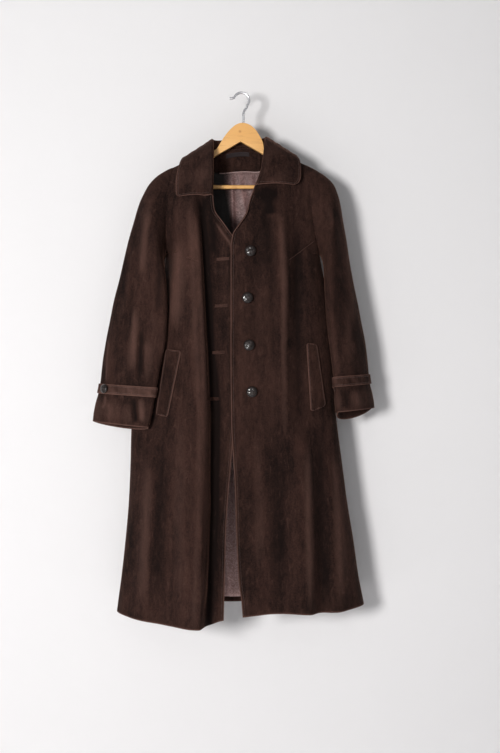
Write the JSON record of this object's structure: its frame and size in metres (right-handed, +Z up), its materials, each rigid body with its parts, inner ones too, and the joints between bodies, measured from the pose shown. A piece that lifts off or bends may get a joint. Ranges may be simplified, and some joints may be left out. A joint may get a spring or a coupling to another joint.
{
  "type": "velvet coat on a hanger",
  "caption": "Long open-fronted velvet coat with a wide turned-down collar, narrow sleeves with cuff straps and slanted pocket welts, hanging on a wooden hanger by its wire hook.",
  "frame": {"origin": "inside top of the hanger's hook, where it rests on a rail", "axes": "+Z up, -Y the way the coat's front faces, +X to the right of a viewer in front of it"},
  "size_m": [0.6472, 0.2128, 1.21],
  "materials": {
    "velvet": "dark brown pile velvet",
    "lining_satin": "mauve-brown figured satin",
    "label_cloth": "plain dark woven label",
    "button_leather": "polished knotted leather",
    "hanger_wood": "clear-varnished light wood",
    "hook_chrome": "polished"
  },
  "bodies": {
    "root": {"front_buttonhole_side": "velvet", "front_button_side": "velvet", "back": "velvet", "back_lining": "lining_satin", "back_neck_facing": "velvet", "neck_label": "label_cloth", "sleeve_viewer_left": "velvet", "sleeve_viewer_right": "velvet", "cuff_strap_viewer_left": "velvet", "cuff_strap_viewer_right": "velvet", "cuff_button_viewer_left": "button_leather", "cuff_button_viewer_right": "button_leather", "collar": "velvet", "pocket_welt_viewer_left": "velvet", "pocket_welt_viewer_right": "velvet", "button_1": "button_leather", "button_2": "button_leather", "button_3": "button_leather", "button_4": "button_leather", "hanger_body": "hanger_wood", "hanger_bar": "hanger_wood", "hanger_hook": "hook_chrome"}
  },
  "joints": []
}
